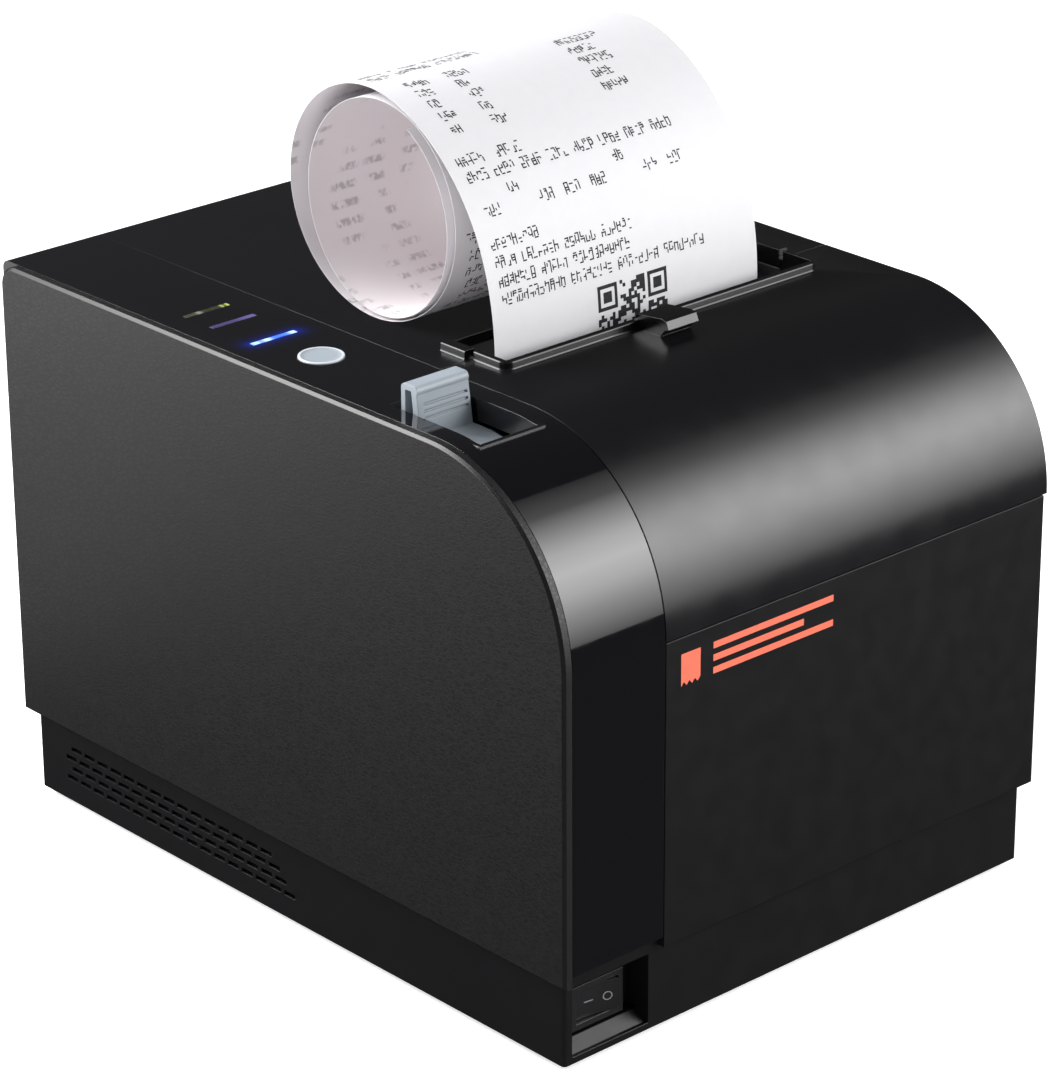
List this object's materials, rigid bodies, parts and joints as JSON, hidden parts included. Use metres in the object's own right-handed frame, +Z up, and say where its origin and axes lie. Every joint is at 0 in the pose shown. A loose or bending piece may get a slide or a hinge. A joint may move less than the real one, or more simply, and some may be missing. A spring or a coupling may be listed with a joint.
{
  "type": "receipt printer",
  "caption": "Counter-top thermal receipt printer with a hinged roll cover, curved cutter cover, release lever, feed button and a curled receipt in its exit slot.",
  "frame": {"origin": "centre of the bounding box in plan, on the plane of the feet", "axes": "+X to the right seen from the front, +Y from the front panel to the back, +Z up"},
  "size_m": [0.147, 0.192, 0.1893],
  "materials": {
    "case_matte": "fine moulded grain, matte",
    "side_texture": "leather-like moulded grain, low sheen",
    "cover_satin": "very fine grain, satin",
    "strip_gloss": "polished",
    "inner_plastic": "matte",
    "foot_rubber": "matte",
    "platen_rubber": "ground",
    "screw_steel": "zinc plated",
    "turned_steel": "turned",
    "sheet_steel": "zinc-coated sheet",
    "spring_steel": "drawn wire",
    "blade_steel": "ground",
    "heat_sink_aluminium": "extruded",
    "head_ceramic": "glazed",
    "bush_plastic": "natural acetal",
    "gear_plastic": "natural acetal",
    "pinion_brass": "machined",
    "motor_can": "plated can",
    "control_grey": "smooth satin",
    "switch_black": "satin",
    "paper": "coated thermal paper",
    "core_card": "plain",
    "board_green": "solder mask",
    "chip_black": "moulded",
    "dip_red": "moulded",
    "port_metal": "nickel plated",
    "ribbon_film": "laminated film",
    "light_amber": "translucent, unlit",
    "light_violet": "translucent, dim",
    "light_blue": "translucent, lit"
  },
  "bodies": {
    "case": {"base_housing": "case_matte", "feet": "foot_rubber", "base_screws": "screw_steel", "dip_switch_door": "case_matte", "left_side_panel": "side_texture", "right_side_panel": "side_texture", "front_panel": "case_matte", "rear_panel": "case_matte", "control_strip": "strip_gloss", "cutter_cover": "cover_satin", "hinge_brackets": "inner_plastic", "hinge_pins": "turned_steel", "mechanism_chassis": "sheet_steel", "chassis_screws": "screw_steel", "cutter_frame": "sheet_steel", "head_bracket": "sheet_steel", "print_head": "head_ceramic", "head_heat_sink": "heat_sink_aluminium", "head_springs": "spring_steel", "idler_axle": "turned_steel", "feed_motor": "motor_can", "lever_spring": "spring_steel", "cutter_motor": "motor_can", "paper_bucket": "inner_plastic", "paper_web": "paper", "feed_switch": "switch_black", "panel_board": "board_green", "status_light_paper": "light_amber", "status_light_error": "light_violet", "status_light_power": "light_blue", "power_switch_body": "switch_black", "main_board": "board_green", "board_components": "chip_black", "dip_switch": "dip_red", "data_ports": "port_metal", "serial_port": "port_metal", "drawer_port": "chip_black", "power_inlet": "chip_black", "head_ribbon": "ribbon_film"},
    "roll_cover": {"roll_cover": "cover_satin", "roll_cover_frame": "inner_plastic", "fixed_blade": "blade_steel", "platen_bushes": "bush_plastic", "receipt": "paper"},
    "platen": {"platen_shaft": "turned_steel", "platen_rubber": "platen_rubber", "platen_gear": "gear_plastic"},
    "idler": {"idler_gear": "gear_plastic"},
    "motor_rotor": {"motor_shaft": "turned_steel", "motor_pinion": "pinion_brass"},
    "paper_roll": {"paper_roll": "paper", "paper_core": "core_card"},
    "lever": {"latch_shaft": "turned_steel", "latch_hooks": "sheet_steel", "release_lever": "control_grey"},
    "cutter": {"cutter_blade": "blade_steel"},
    "cutter_drive": {"cutter_pinion": "gear_plastic"},
    "feed_button": {"feed_button": "control_grey", "switch_plunger": "switch_black"},
    "rocker": {"power_rocker": "switch_black"}
  },
  "joints": [
    {"name": "roll_cover_hinge", "type": "hinge", "parent": "case", "child": "roll_cover", "pos_m": [0, 0.09, 0.106], "axis": [-1, 0, 0], "range_deg": [0, 85]},
    {"name": "platen_spin", "type": "hinge", "parent": "roll_cover", "child": "platen", "pos_m": [0.0055, -0.0245, 0.106], "axis": [1, 0, 0], "continuous": true},
    {"name": "idler_spin", "type": "hinge", "parent": "case", "child": "idler", "pos_m": [0.058, -0.03271, 0.08345], "axis": [1, 0, 0], "continuous": true},
    {"name": "motor_spin", "type": "hinge", "parent": "case", "child": "motor_rotor", "pos_m": [0.058, -0.03938, 0.06512], "axis": [1, 0, 0], "continuous": true},
    {"name": "roll_spin", "type": "hinge", "parent": "case", "child": "paper_roll", "pos_m": [0.0055, 0.035, 0.076], "axis": [1, 0, 0], "continuous": true},
    {"name": "lever_swing", "type": "hinge", "parent": "case", "child": "lever", "pos_m": [-0.0035, -0.046, 0.088], "axis": [1, 0, 0], "range_deg": [0, 21], "stiffness_Nm_per_rad": 0.3, "springref_deg": -22.92},
    {"name": "cutter_slide", "type": "slide", "parent": "case", "child": "cutter", "axis": [0, 1, 0], "range_m": [0, 0.006]},
    {"name": "cutter_drive_spin", "type": "hinge", "parent": "case", "child": "cutter_drive", "pos_m": [0.0305, -0.058, 0.122], "axis": [0, 0, 1], "range_deg": [-80, 80]},
    {"name": "feed_button_press", "type": "slide", "parent": "case", "child": "feed_button", "axis": [0, 0, -1], "range_m": [0, 0.001], "stiffness_N_per_m": 800, "springref_m": -0.0015},
    {"name": "rocker_tilt", "type": "hinge", "parent": "case", "child": "rocker", "pos_m": [-0.05845, -0.088, 0.01185], "axis": [0, 0, 1], "range_deg": [0, 20]}
  ],
  "couplings": [
    {"joint": "idler_spin", "follows": "platen_spin", "ratio": -0.6},
    {"joint": "motor_spin", "follows": "platen_spin", "ratio": 2},
    {"joint": "roll_spin", "follows": "platen_spin", "ratio": 0.18421},
    {"joint": "cutter_drive_spin", "follows": "cutter_slide", "rad_per_m": -222.22}
  ]
}
